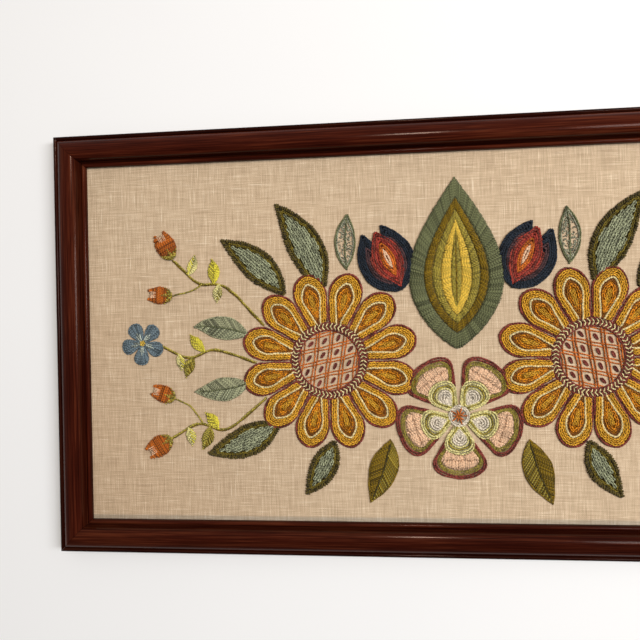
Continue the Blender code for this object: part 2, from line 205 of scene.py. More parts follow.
def make_lights():
    world = bpy.data.worlds.new("studio")
    graph = Graph(world, "Background")
    upward = graph.split(graph.node("ShaderNodeTexCoord").outputs["Generated"])[1]
    height = graph.plus(graph.times(upward, 0.5), 0.5)
    graph.surface(Color=graph.ramp(height, WORLD_TONES), Strength=1.0)
    bpy.context.scene.world = world
    for row in LIGHTS:
        data = bpy.data.lights.new(row.name, "AREA")
        data.shape = "RECTANGLE"
        data.size, data.size_y = row.size
        data.energy = row.power
        data.color = row.colour
        light = bpy.data.objects.new(row.name, data)
        light.location = row.place
        light.rotation_euler = (-Vector(row.place)).to_track_quat("-Z", "Y").to_euler()
        bpy.context.scene.collection.objects.link(light)


# Materials

class Graph:
    """The node tree of a material or a world, with short ways to add and link its nodes."""

    def __init__(self, owner, shader="Principled BSDF"):
        owner.use_nodes = True
        self.owner = owner
        self.tree = owner.node_tree
        self.shader = self.tree.nodes[shader]

    def feed(self, socket, value):
        """Give a socket a number, a colour or another node's output."""
        if isinstance(value, (int, float)):
            socket.default_value = value
        elif isinstance(value, tuple):
            socket.default_value = (*value, 1.0)
        else:
            self.tree.links.new(value, socket)

    def surface(self, **inputs):
        """Feed the shader's own sockets, named with underscores; gives the material back."""
        for name, value in inputs.items():
            self.feed(self.shader.inputs[name.replace("_", " ")], value)
        return self.owner

    def node(self, kind, **settings):
        """A node, with its properties or named inputs set."""
        node = self.tree.nodes.new(kind)
        for key, value in settings.items():
            if hasattr(node, key):
                setattr(node, key, value)
            else:
                node.inputs[key].default_value = value
        return node

    def math(self, operation, *values):
        node = self.node("ShaderNodeMath", operation=operation)
        for socket, value in zip(node.inputs, values):
            self.feed(socket, value)
        return node.outputs[0]

    def plus(self, a, b):
        return self.math("ADD", a, b)

    def times(self, a, b):
        return self.math("MULTIPLY", a, b)

    def swing(self, value, weight):
        """A noise's rise and fall about its middle."""
        return self.times(self.math("SUBTRACT", value, 0.5), weight)

    def mix(self, factor, a, b, blend="MIX"):
        node = self.node("ShaderNodeMix", data_type="RGBA", blend_type=blend)
        for place, value in ((0, factor), (6, a), (7, b)):
            self.feed(node.inputs[place], value)
        return node.outputs[2]

    def tinted(self, colour, tint, factor=1.0):
        return self.mix(factor, colour, tint, "MULTIPLY")

    def split(self, vector):
        node = self.node("ShaderNodeSeparateXYZ")
        self.feed(node.inputs[0], vector)
        return node.outputs

    def attribute(self, name, output="Fac"):
        return self.node("ShaderNodeAttribute", attribute_name=name).outputs[output]

    def metres(self):
        return self.node("ShaderNodeTexCoord").outputs["Object"]

    def noise(self, stretch, scale, detail=2.0, roughness=0.5, along=None):
        """Noise along the object's metres, or along another vector, stretched apart on each axis."""
        mapping = self.node("ShaderNodeMapping", Scale=stretch)
        self.feed(mapping.inputs["Vector"], self.metres() if along is None else along)
        node = self.node("ShaderNodeTexNoise", Scale=scale, Detail=detail, Roughness=roughness)
        self.feed(node.inputs["Vector"], mapping.outputs["Vector"])
        return node.outputs["Fac"]

    def ramp(self, factor, stops):
        node = self.node("ShaderNodeValToRGB")
        elements = node.color_ramp.elements
        while len(elements) < len(stops):
            elements.new(0.5)
        for element, (place, colour) in zip(elements, stops):
            element.position = place
            element.color = (*colour, 1.0)
        self.feed(node.inputs["Fac"], factor)
        return node.outputs["Color"]

    def rising(self, factor, low, high):
        """Black up to one level and white from another."""
        return self.ramp(factor, ((low, BLACK), (high, WHITE)))

    def bump(self, height, strength, distance, under=None):
        node = self.node("ShaderNodeBump", Strength=strength, Distance=distance)
        self.feed(node.inputs["Height"], height)
        if under is not None:
            self.feed(node.inputs["Normal"], under)
        return node.outputs["Normal"]


BLACK = (0.0, 0.0, 0.0)
WHITE = (1.0, 1.0, 1.0)
EVEN = (1, 1, 1)

# Ends of a yarn's tones and of its mat's, as shares of its colour; the mat's dark shares are painted shade
# between the strands
WOOL_LIGHT = 1.38
WOOL_DARK = 0.42
MAT_SHADE_TONES = ((0.35, 0.20), (0.65, 0.50))
WOOL_GLOSS = 0.16
PLY_PITCH = 2.3
FIBRE_STRETCH = (2.6, 2.6, 0.55)
PLY_RELIEF = 0.00034
FIBRE_RELIEF = 0.00040
UNDER = "_under"
WOOL = {}


def wool(yarn):
    """The material of a yarn, or of the mat under its stitches, made once."""
    if yarn not in WOOL:
        graph = Graph(bpy.data.materials.new("wool_" + yarn))
        if yarn.endswith(UNDER):
            WOOL[yarn] = mat_wool(graph, YARN[yarn[:-len(UNDER)]])
        else:
            WOOL[yarn] = strand_wool(graph, YARN[yarn])
    return WOOL[yarn]


def mat_wool(graph, colour):
    """The mat seen between the strands, darkened as painted shade."""
    stops = [(place, tuple(c * share for c in colour)) for place, share in MAT_SHADE_TONES]
    mat_shade = graph.ramp(graph.noise(EVEN, 1500.0, 3.0), stops)
    return graph.surface(Base_Color=mat_shade, Roughness=1.0, Specular_IOR_Level=WOOL_GLOSS)


def strand_wool(graph, colour):
    """Two-ply crewel wool: tone by stitch, fibres along the strand, and the twist of the plies."""
    ply = graph.attribute("ply", "Vector")
    x, y, along = graph.split(ply)
    turn = graph.times(along, 2 * math.pi / PLY_PITCH)
    wave = graph.plus(graph.times(graph.math("SINE", turn), x), graph.times(graph.math("COSINE", turn), y))
    fibre = graph.noise(FIBRE_STRETCH, 1.6, 4.0, 0.7, ply)
    top = min(WOOL_LIGHT, 1.0 / max(colour))
    dark = tuple(c * (WOOL_DARK + 0.6 * (WOOL_LIGHT - top)) for c in colour)
    light = tuple(c * top for c in colour)
    level = graph.plus(graph.attribute("tone"), graph.swing(fibre, 0.9))
    # The twist's wave also swings the colour lighter and darker along the plies: painted light and shade on
    # their crests and grooves
    level = graph.plus(level, graph.times(wave, 0.26))
    twisted = graph.bump(wave, 1.0, PLY_RELIEF)
    return graph.surface(Base_Color=graph.mix(level, dark, light),
                         Normal=graph.bump(fibre, 0.8, FIBRE_RELIEF, twisted),
                         Roughness=0.80, Specular_IOR_Level=WOOL_GLOSS,
                         Sheen_Weight=0.10, Sheen_Roughness=0.45)


LINEN_THREADS = (((2100, 48, 1), 0.50), ((900, 32, 1), 0.36), ((330, 16, 1), 0.14))
SLUBS = (1000, 46, 1)
THREAD_PITCH = 0.00085
LINEN_TONES = ((0.37, (0.430, 0.318, 0.212)), (0.47, (0.560, 0.424, 0.285)),
               (0.55, (0.675, 0.522, 0.362)), (0.68, (0.90, 0.77, 0.59)))
LINEN_CAST = ((0.35, (0.965, 0.965, 0.965)), (0.65, (1.0, 0.99, 0.98)))
# Painted shade: the linen's colour darkens toward its lower left corner
LOWER_LEFT_SHADE_TINT = (0.90, 0.865, 0.84)
# Painted shade: a bluish-grey strip along the linen's bottom edge, against the bottom rail's lip
BOTTOM_SHADE_STRIP = 0.0050
BOTTOM_SHADE_TINT = (0.72, 0.79, 0.88)


def linen_material():
    """Plain-woven natural linen: uneven warp and weft threads, slubs, and thread relief, with painted shade
    toward its lower left corner and along its bottom edge.
    """
    graph = Graph(bpy.data.materials.new("linen"))
    sets = []
    for first, second in ((0, 1), (1, 0)):
        level = 0.0
        for scale, weight in LINEN_THREADS:
            threads = graph.noise((scale[first], scale[second], 1), 1.0, 1.0)
            level = graph.plus(level, graph.times(threads, weight))
        slubs = graph.rising(graph.noise((SLUBS[first], SLUBS[second], 1), 1.0, 0.0), 0.70, 0.84)
        sets.append(graph.plus(level, graph.times(slubs, 0.22)))
    level = graph.times(graph.plus(*sets), 0.5)
    level = graph.plus(level, graph.swing(graph.noise(EVEN, 1150.0, 1.0), 0.16))
    x, y = graph.split(graph.metres())[:2]
    sway = graph.times(graph.noise(EVEN, 90.0, 1.0), 5.0)
    over = [graph.math("SINE", graph.plus(graph.times(place, math.pi / THREAD_PITCH), sway))
            for place in (x, y)]
    weave = graph.times(*over)
    colour = graph.ramp(graph.plus(level, graph.times(weave, 0.030)), LINEN_TONES)
    # Painted shade, strongest at the linen's lower left corner
    left = graph.rising(graph.times(x, -1.0), 0.10, 0.32)
    low = graph.rising(graph.math("SUBTRACT", 0.5, y), 0.37, 0.64)
    colour = graph.tinted(colour, LOWER_LEFT_SHADE_TINT, graph.times(left, low))
    # Painted shade along the linen's bottom edge, against the bottom rail's lip
    height = graph.plus(graph.times(y, 1 / BOTTOM_SHADE_STRIP), SIGHT_HALF_HEIGHT * MM / BOTTOM_SHADE_STRIP)
    colour = graph.tinted(colour, BOTTOM_SHADE_TINT, graph.ramp(height, ((0.55, WHITE), (0.95, BLACK))))
    colour = graph.tinted(colour, graph.ramp(graph.noise(EVEN, 7.0, 2.0), LINEN_CAST))
    relief = graph.plus(graph.math("MAXIMUM", *sets), graph.times(weave, 0.10))
    return graph.surface(Base_Color=colour, Normal=graph.bump(relief, 0.8, 0.0008),
                         Roughness=0.93, Specular_IOR_Level=0.2)


MAHOGANY_TONES = ((0.34, (0.019, 0.0018, 0.0009)), (0.50, (0.053, 0.0079, 0.0031)),
                  (0.64, (0.120, 0.0265, 0.0100)))
PORE_TONES = ((0.30, (0.40, 0.40, 0.40)), (0.46, WHITE))
# Near-black painted shade, mixed into the moulding's hollows and over its outer bead
MOULDING_SHADE_COLOUR = (0.0050, 0.0014, 0.0010)


def mahogany_material():
    """Mahogany stained dark, with fine lengthwise grain under a glossy lacquer, and painted shade mixed in by a
    share stored on the rails.
    """
    graph = Graph(bpy.data.materials.new("mahogany"))
    figure = graph.noise((2.0, 34.0, 34.0), 1.0, 2.0)
    grain = graph.noise((14.0, 620.0, 620.0), 1.0, 4.0, 0.6)
    pores = graph.noise((26.0, 1500.0, 1500.0), 1.0, 2.0, 0.6)
    level = graph.plus(graph.times(grain, 0.62), graph.times(figure, 0.38))
    stained = graph.tinted(graph.ramp(level, MAHOGANY_TONES), graph.ramp(pores, PORE_TONES))
    wear = graph.noise((9.0, 60.0, 60.0), 2.0, 4.0)
    return graph.surface(Base_Color=graph.mix(graph.attribute("moulding_shade"), MOULDING_SHADE_COLOUR, stained),
                         Roughness=graph.plus(graph.times(wear, 0.12), 0.10),
                         Normal=graph.bump(pores, 0.10, 0.0002),
                         Specular_IOR_Level=0.045, Specular_Tint=(1.0, 0.50, 0.36),
                         Coat_Weight=0.15, Coat_Roughness=0.13, Coat_IOR=1.35)


FLOOR_TONES = ((0.3, (0.905, 0.925, 0.955)), (0.7, (0.92, 0.94, 0.97)))


def floor_material():
    graph = Graph(bpy.data.materials.new("pale_floor"))
    return graph.surface(Base_Color=graph.ramp(graph.noise(EVEN, 3.0, 2.0), FLOOR_TONES),
                         Roughness=0.9, Specular_IOR_Level=0.1)


# Meshes from arrays

def mesh_object(name, vertices, quads, triangles=(), materials=(), slots=None, smooth=True):
    """An object from metre vertices and two arrays of faces."""
    quads = np.asarray(quads, np.int32).reshape(-1, 4)
    triangles = np.asarray(triangles, np.int32).reshape(-1, 3)
    mesh = bpy.data.meshes.new(name)
    mesh.vertices.add(len(vertices))
    mesh.vertices.foreach_set("co", np.asarray(vertices, np.float32).ravel())
    loops = np.concatenate([quads.ravel(), triangles.ravel()])
    mesh.loops.add(len(loops))
    mesh.loops.foreach_set("vertex_index", loops)
    starts = np.concatenate([np.arange(len(quads)) * 4, len(quads) * 4 + np.arange(len(triangles)) * 3])
    mesh.polygons.add(len(starts))
    mesh.polygons.foreach_set("loop_start", starts.astype(np.int32))
    if slots is not None:
        mesh.polygons.foreach_set("material_index", np.asarray(slots, np.int32))
    mesh.update(calc_edges=True)
    mesh.validate()
    if smooth:
        mesh.shade_smooth()
    for material in materials:
        mesh.materials.append(material)
    made = bpy.data.objects.new(name, mesh)
    bpy.context.scene.collection.objects.link(made)
    return made


def slab_faces(rows, columns):
    """Quads that close a slab of two grids of points, the upper one first."""
    size = rows * columns
    r, c = np.meshgrid(np.arange(rows - 1), np.arange(columns - 1), indexing="ij")
    a = (r * columns + c).ravel()
    top = np.stack([a, a + columns, a + columns + 1, a + 1], axis=1)
    edge = np.concatenate([np.arange(columns), columns * np.arange(1, rows) + columns - 1,
                           size - 2 - np.arange(columns - 1), columns * np.arange(rows - 2, 0, -1)])
    after = np.roll(edge, -1)
    wall = np.stack([edge, after, after + size, edge + size], axis=1)
    return np.concatenate([top, top[:, ::-1] + size, wall])


def point_values(made, name, kind, key, values):
    """Store values for each vertex under a name that the materials read."""
    made.data.attributes.new(name, kind, "POINT").data.foreach_set(key, values.astype(np.float32).ravel())


SIDES = 5
SIDE_ANGLES = 2 * math.pi * np.arange(SIDES) / SIDES + math.pi / 2
STRAND_FLATNESS = 0.92
RADIUS_SPREAD = (0.93, 1.07)
PLY_START_SPREAD = 90.0
MAT_SINK = 0.15
TONE_LIMITS = (-0.2, 1.2)


class Stitching:
    """Strands of wool that make up one motif, gathered and built as one mesh."""

    def __init__(self, name, half=("", False), hiders=()):
        self.prefix, self.mirror = half
        self.name = self.prefix + name
        self.hiders = hiders
        self.vertices = []
        self.quads = []
        self.triangles = []
        self.quad_yarns = []
        self.triangle_yarns = []
        self.tones = []
        self.plies = []
        self.count = 0
        self.yarns = []

    def hidden(self, points):
        """Which points lie under a motif that is worked in front of this one."""
        under = np.zeros(len(points), bool)
        for outline in self.hiders:
            under |= inside(points, outline)
        return under

    def gather(self, vertices, quads, triangles, yarn, tones, plies):
        """Keep one more part, whose faces count from its own first vertex."""
        if yarn not in self.yarns:
            self.yarns.append(yarn)
        index = self.yarns.index(yarn)
        self.vertices.append(vertices)
        self.quads.append(quads + self.count)
        self.triangles.append(triangles + self.count)
        self.quad_yarns.append(np.full(len(quads), index))
        self.triangle_yarns.append(np.full(len(triangles), index))
        self.tones.append(tones)
        self.plies.append(plies)
        self.count += len(vertices)

    def strands(self, paths, radius, yarn, tone=0.5, spread=0.32):
        """Yarns along paths of shape (count, rings, 3), with radius by ring or one for all."""
        paths = np.array(paths, float)
        paths = paths[~self.hidden(paths[:, paths.shape[1] // 2, :2])]
        if not len(paths):
            return
        if self.mirror:
            paths[..., 0] *= -1
        count, rings = paths.shape[:2]
        radii = np.broadcast_to(radius, (count, rings)) * rng.uniform(*RADIUS_SPREAD, (count, 1))
        tangent = np.gradient(paths, axis=1)
        tangent /= np.linalg.norm(tangent, axis=2, keepdims=True) + 1e-9
        side = np.cross(tangent, (0.0, 0.0, 1.0))
        side /= np.linalg.norm(side, axis=2, keepdims=True) + 1e-9
        up = np.cross(side, tangent)
        cosine = np.cos(SIDE_ANGLES)
        sine = np.sin(SIDE_ANGLES)
        ring = side[:, :, None] * cosine[:, None] + up[:, :, None] * sine[:, None] * STRAND_FLATNESS
        vertices = paths[:, :, None] + ring * radii[:, :, None, None]
        steps = np.linalg.norm(np.diff(paths, axis=1), axis=2)
        along = np.concatenate([np.zeros((count, 1)), np.cumsum(steps, axis=1)], axis=1)
        along = along + rng.uniform(0, PLY_START_SPREAD, (count, 1))
        ply = np.empty((count, rings, SIDES, 3))
        ply[..., 0] = cosine
        ply[..., 1] = sine
        ply[..., 2] = along[:, :, None]
        tones = tone + rng.normal(0, spread, (count, 1))
        first = np.arange(count) * rings * SIDES
        last = first + (rings - 1) * SIDES
        row = first[:, None, None] + np.arange(rings - 1)[None, :, None] * SIDES
        k = np.arange(SIDES)
        after = (k + 1) % SIDES
        quads = np.stack([row + k, row + after, row + SIDES + after, row + SIDES + k], axis=-1)
        caps = []
        for j in range(1, SIDES - 1):
            caps.append(np.stack([first, first + j + 1, first + j], axis=1))
            caps.append(np.stack([last, last + j, last + j + 1], axis=1))
        self.gather(vertices.reshape(-1, 3), quads.reshape(-1, 4), np.concatenate(caps), yarn,
                    np.repeat(tones, rings * SIDES, axis=1).ravel(), ply.reshape(-1, 3))

    def ground(self, grid, yarn):
        """A closed low mat of darkened wool under the stitches, painted shade between them, from a grid of its
        top.
        """
        grid = np.array(grid, float)
        if self.mirror:
            grid[..., 0] *= -1
        rows, columns = grid.shape[:2]
        bottom = grid.copy()
        bottom[..., 2] = LINEN_TOP - MAT_SINK
        vertices = np.concatenate([grid.reshape(-1, 3), bottom.reshape(-1, 3)])
        quads = slab_faces(rows, columns)
        middle = grid[rows // 2, columns // 2]
        u = grid[rows // 2 - 1, columns // 2] - middle
        v = grid[rows // 2, columns // 2 - 1] - middle
        if u[0] * v[1] - u[1] * v[0] < 0:
            quads = quads[:, ::-1]
        self.gather(vertices, quads, np.empty((0, 3), int), yarn + UNDER,
                    np.full(len(vertices), 0.5), np.tile((1.0, 0.0, 0.0), (len(vertices), 1)))

    def build(self, slot, *nodes):
        """The motif as one object that stands for its nodes."""
        made = mesh_object(self.name, np.concatenate(self.vertices) * MM, np.concatenate(self.quads),
                           np.concatenate(self.triangles), [wool(yarn) for yarn in self.yarns],
                           np.concatenate(self.quad_yarns + self.triangle_yarns))
        point_values(made, "tone", "FLOAT", "value", np.clip(np.concatenate(self.tones), *TONE_LIMITS))
        point_values(made, "ply", "FLOAT_VECTOR", "vector", np.concatenate(self.plies))
        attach(made, "root")
        if nodes:
            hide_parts(*[self.prefix + node for node in nodes])


# Plane geometry

def inside(points, outline):
    """Even-odd test of points against a closed outline."""
    x, y = points[:, 0], points[:, 1]
    result = np.zeros(len(points), bool)
    for (ax, ay), (bx, by) in zip(outline, np.roll(outline, -1, axis=0)):
        crosses = (ay > y) != (by > y)
        with np.errstate(divide="ignore", invalid="ignore"):
            reach = (bx - ax) * (y - ay) / (by - ay) + ax
        result ^= crosses & (x < reach)
    return result


def ray(angle):
    """Unit vectors at an angle or at an array of them."""
    return np.stack([np.cos(angle), np.sin(angle)], axis=-1)


def left_of(direction):
    """Vectors turned a quarter to the left."""
    return np.stack([-direction[..., 1], direction[..., 0]], axis=-1)


def centre_of(form):
    return np.array([form.x, form.y])


def arc_lengths(path):
    """Distance along a polyline at each of its points."""
    return np.concatenate([[0], np.cumsum(np.linalg.norm(np.diff(path, axis=0), axis=1))])


SLOW_DRIFT = (0.20, 4.7)
QUICK_DRIFT = (0.12, 2.3)
PITCH_SPREAD = 0.10


def resample(path, pitch):
    """Points a pitch apart along a polyline, at least two, with unit tangents and a hand's drift."""
    path = np.asarray(path, float)
    along = arc_lengths(path)
    count = max(2, int(round(along[-1] / pitch)) + 1)
    places = np.linspace(0, along[-1], count)
    points = np.stack([np.interp(places, along, path[:, i]) for i in (0, 1)], axis=1)
    tangent = np.gradient(points, axis=0)
    tangent /= np.linalg.norm(tangent, axis=1, keepdims=True) + 1e-9
    drift = sum(size * np.sin(places / length + rng.uniform(0, 6.3))
                for size, length in (SLOW_DRIFT, QUICK_DRIFT))
    points = points + left_of(tangent) * drift[:, None]
    return points + tangent * rng.normal(0, PITCH_SPREAD, (count, 1)) * pitch, tangent


def smooth_path(points, steps=14):
    """Points on a smooth curve through the given ones."""
    p = np.array(points, float)
    knots = np.concatenate([[2 * p[0] - p[1]], p, [2 * p[-1] - p[-2]]])
    path = []
    for a, b, c, d in zip(knots, knots[1:], knots[2:], knots[3:]):
        for t in np.arange(steps) / steps:
            path.append(0.5 * (2 * b + (c - a) * t + (2 * a - 5 * b + 4 * c - d) * t ** 2
                               + (3 * b - a - 3 * c + d) * t ** 3))
    path.append(p[-1])
    return np.array(path)


def bloom_outline(form, steps=240):
    angle = 2 * math.pi * np.arange(steps) / steps
    swell = np.abs(np.sin(form.petals / 2 * angle))
    radius = form.inner + (form.outer - form.inner) * swell ** form.roundness
    return centre_of(form) + radius[:, None] * ray(angle + math.radians(form.turn))


def circle(form, radius, steps=90):
    return centre_of(form) + radius * ray(2 * math.pi * np.arange(steps + 1) / steps)


def lift(points, heights):
    """Plane points given heights above the linen, as (..., 3)."""
    heights = np.broadcast_to(heights, points.shape[:-1])
    return np.concatenate([points, (LINEN_TOP + heights)[..., None]], axis=-1)


def dome(height, t, half):
    """Heights across a mat, from -1 to 1, at each half width: level inside, down at its edges."""
    return height * (1 - t ** 4) * np.minimum(1, half[:, None] / 2.0)


class Blade:
    """A leaf form: a bending centre line with a half width along it."""

    def __init__(self, x, y, heading, length, width, bend=0.0, belly=0.5, steps=120):
        s = np.linspace(0, 1, steps + 1)
        angle = np.radians(heading + bend * s)
        strides = ray(np.radians(heading + bend * (s[:-1] + 0.5 / steps))) * (length / steps)
        self.s = s
        self.length = length
        self.centre = np.array([x, y]) + np.concatenate([[[0, 0]], np.cumsum(strides, axis=0)])
        self.across = left_of(ray(angle))
        self.half = width / 2 * np.sin(math.pi * s ** (math.log(0.5) / math.log(belly)))

    def point(self, s, offset):
        """The point a distance to the left of the centre line at s."""
        centre, across = (np.stack([np.interp(s, self.s, line[:, i]) for i in (0, 1)], axis=-1)
                          for line in (self.centre, self.across))
        return centre + across * np.asarray(offset)[..., None]

    def half_at(self, s):
        return np.interp(s, self.s, self.half)

    def edge(self, side, inset=0.0, wide=slice(None)):
        """The left edge for side 1 and the right one for -1, drawn in by an inset."""
        return self.centre[wide] + self.across[wide] * ((self.half[wide] - inset) * side)[:, None]

    def outline(self):
        return np.concatenate([self.edge(1), self.edge(-1)[-2:0:-1]])

    def row(self, inset, sides=(1, -1)):
        """The path at an inset from the edge: up the left side, then down the right."""
        wide = self.half > inset
        if wide.sum() < 4:
            return None
        legs = [self.edge(side, inset, wide) for side in sides]
        if len(legs) == 2:
            legs[1] = legs[1][::-1]
        return np.concatenate(legs)

    def line(self, offset, inset):
        """The path beside the centre line, where it lies further than the inset from the edge."""
        room = self.half - inset > abs(offset)
        if room.sum() < 4:
            return None
        return self.centre[room] + self.across[room] * offset

    def mat(self, height):
        """Grid of a low dome inside the edge, for the wool under the stitches."""
        s = np.linspace(0.01, 0.99, 28)
        t = np.linspace(-1, 1, 9)
        half = np.maximum(self.half_at(s) - 0.5, 0.05)
        return lift(self.point(np.repeat(s[:, None], len(t), 1), half[:, None] * t), dome(height, t, half))


def of_leaf(leaf):
    return Blade(leaf.x, leaf.y, leaf.heading, leaf.length, leaf.width, leaf.bend, leaf.belly)


class Petal:
    """One lobe of a bloom, as half widths across its axis from base to tip."""

    def __init__(self, form, number, base):
        self.axis = math.radians(form.turn) + 2 * math.pi / form.petals * (number + 0.5)
        self.form = form
        self.base = base
        self.direction = ray(self.axis)
        self.normal = left_of(self.direction)
        self.centre = centre_of(form)

    def half(self, reach):
        """Half width where the petal crosses a circle of that radius."""
        form = self.form
        over = np.clip((reach - form.inner) / (form.outer - form.inner), 0, 1)
        lost = np.arcsin(over ** (1 / form.roundness)) / (form.petals / 2)
        return reach * np.sin(math.pi / form.petals - lost)

    def at(self, reach, offset):
        """The point at a reach along the axis and a distance to the left of it."""
        return (self.centre + self.direction * np.asarray(reach)[..., None]
                + self.normal * np.asarray(offset)[..., None])

    def drawn_in(self, reach, inset):
        """Reaches squeezed toward the base, so that the tip keeps the inset too."""
        tip = self.form.outer
        return self.base + (reach - self.base) * (tip - inset - self.base) / (tip - self.base)

    def row(self, inset, samples=70):
        """The path at an inset inside the petal's edge, from base round the tip and back."""
        u = 1 - (1 - np.linspace(0, 1, samples)) ** 2.2
        reach = self.base + (self.form.outer - self.base) * u
        half = self.half(reach) - inset
        keep = half > 0.0
        if keep.sum() < 4:
            return None
        reach = self.drawn_in(reach[keep], inset)
        return np.concatenate([self.at(reach, half[keep]), self.at(reach, -half[keep])[::-1]])

    def spine(self, inset, samples=40):
        """The part of the petal's axis that lies further than the inset from its edge."""
        reach = np.linspace(self.base, self.form.outer, samples)
        reach = self.drawn_in(reach[self.half(reach) > inset], inset)
        return self.at(reach, np.zeros(len(reach)))

    def mat(self, height):
        """Grid of a low dome inside the edge, for the wool under the stitches."""
        reach = np.linspace(self.base, self.form.outer - 1.0, 20)
        half = np.maximum(self.half(reach) - 0.6, 0.05)
        t = np.linspace(-1, 1, 9)
        return lift(self.at(reach[:, None], half[:, None] * t), dome(height, t, half))


def ring_mat(form, near, far, steps, height):
    """Grid of a level mat between two circles."""
    reach = np.linspace(near, far, 5)
    turn = np.linspace(0, 2 * math.pi, steps)
    return lift(centre_of(form) + reach[:, None] * ray(turn)[:, None], height)


# Stitches: a strand's shape is rings of place along the stitch, offset to its left and height

CHAIN_LEG = ((-0.26, 0.03, 0.05), (0.18, 0.27, 0.55), (0.70, 0.35, 0.60), (1.08, 0.07, 0.15))
CHAIN_RADII = np.array([0.15, 0.21, 0.22, 0.15])
CHAIN_JITTER = 0.06
STEM_STRAND = ((-0.55, -0.26, 0.05), (0.05, -0.12, 0.50), (0.75, 0.12, 0.50), (1.35, 0.26, 0.05))
STEM_RADII = np.array([0.24, 0.40, 0.40, 0.24])
SATIN_RISE = ((0.0, -0.2), (0.18, 0.75), (0.5, 1.0), (0.82, 0.75), (1.0, -0.2))
SATIN_RADII = np.array([0.7, 1, 1.04, 1, 0.7])


def long_enough(path, pitch):
    return path is not None and arc_lengths(path)[-1] >= pitch


def links(path, pitch):
    """The start, the step and the unit vector to the left of each stitch in a row."""
    points = resample(path, pitch)[0]
    step = points[1:] - points[:-1]
    return points[:-1], step, left_of(step / np.linalg.norm(step, axis=1, keepdims=True))


def worked(work, row, shape, width, radii, yarn, base, tone=0.5, side=1, shift=0.0):
    """A strand of one shape at each stitch of a row."""
    start, step, normal = row
    rings = [lift(start + step * along + normal * (side * out * width + shift), base + height * width * 0.5)
             for along, out, height in shape]
    work.strands(np.stack(rings, axis=1), width * radii, yarn, tone)


def chain(work, path, width, yarn, base=0.35, pitch=3.5, tone=0.5):
    """A row of chain stitch: each link is two legs that part and close again."""
    if long_enough(path, pitch):
        row = links(path, pitch)
        shift = rng.normal(0, CHAIN_JITTER, (len(row[0]), 1)) * width
        for side in (1, -1):
            worked(work, row, CHAIN_LEG, width, CHAIN_RADII, yarn, base, tone, side, shift)


def stem(work, path, width, yarn, base=0.35, pitch=2.9):
    """A row of stem stitch: slanting strands that overlap like a rope."""
    if long_enough(path, pitch):
        worked(work, links(path, pitch), STEM_STRAND, width, STEM_RADII, yarn, base)


def satin(work, starts, ends, yarn, radius=0.60, base=0.45, arch=0.45, tone=0.5, spread=0.32, wander=0.20):
    """Straight stitches from starts to ends, each lying on a low arch."""
    starts = starts + rng.normal(0, wander, np.shape(starts))
    ends = ends + rng.normal(0, wander, np.shape(ends))
    rings = [lift(starts + (ends - starts) * t, base + arch * height) for t, height in SATIN_RISE]
    work.strands(np.stack(rings, axis=1), radius * SATIN_RADII, yarn, tone, spread)


def knots(work, centres, yarn, size=1.0, base=0.3):
    """French knots: a small coil of yarn, narrower and higher as it winds."""
    rings = []
    for share in np.arange(9) / 8:
        offset = ray(2 * math.pi * 1.35 * share) * size * (0.75 - 0.25 * share)
        rings.append(lift(np.asarray(centres) + offset, base + size * (0.25 + 0.75 * share)))
    work.strands(np.stack(rings, axis=1), size * 0.55, yarn)


def loops(work, centres, headings, length, width, yarn, base=0.25):
    """Detached chain stitches: small drop-shaped loops."""
    direction = ray(headings)
    rings = []
    for turn in np.linspace(-math.pi, math.pi, 11):
        out = math.sin(turn) * abs(math.cos(turn / 2)) ** 0.5
        flat = centres + direction * math.cos(turn) * length / 2 + left_of(direction) * out * width / 2
        rings.append(lift(flat, base + 0.5))
    work.strands(np.stack(rings, axis=1), 0.55, yarn)


def fishbone(work, blade, yarn, second, pitch=1.35, slope=0.55, base=0.7, arch=0.45):
    """Slanting stitches from the edge down to the middle line, on both sides."""
    count = max(5, int(blade.length / pitch))
    s = np.linspace(0.04, 0.985, count)
    half = blade.half_at(s)
    even = np.arange(count) % 2 == 0
    for side in (1, -1):
        starts = blade.point(s, side * (half - 0.3))
        ends = blade.point(np.maximum(s - half * slope / blade.length * 1.6, 0.0), side * np.full(count, -0.15))
        for part, wool_yarn in ((even, yarn), (~even, second if side > 0 else yarn)):
            satin(work, starts[part], ends[part], wool_yarn, radius=0.62, base=base, arch=arch)


def satin_band(work, outer, inner, yarn, lean=0.0):
    """Satin stitches across the band between two nested blades, or down to the middle line."""
    pitch = 1.30
    seam = 0.1
    work.ground(outer.mat(0.75), yarn)
    for side in (1, -1):
        along = arc_lengths(outer.edge(side))
        count = int(along[-1] / pitch)
        s = np.interp((np.arange(count) + 0.5) / count * along[-1], along, outer.s)
        starts = outer.point(s, side * np.maximum(outer.half_at(s) - seam, 0.0))
        leaning = np.clip(s - lean * outer.half_at(s) / outer.length, 0.0, 1.0)
        if inner is None:
            ends = outer.point(leaning, np.zeros(count))
        else:
            ends = inner.point(leaning, side * (inner.half_at(leaning) + seam))
        satin(work, starts, ends, yarn, radius=0.68, base=0.9, arch=0.5, spread=0.20)


def ropey_edge(work, path, width, yarn, side):
    """Close buttonhole stitches over an edge, like a thick cord."""
    points, tangent = resample(path, 2.1)
    normal = left_of(tangent) * side
    satin(work, points - normal * width * 0.40 - tangent * 0.9,
          points + normal * width * 0.50 + tangent * 0.9, yarn, radius=0.92, base=0.55, arch=0.8, spread=0.35)


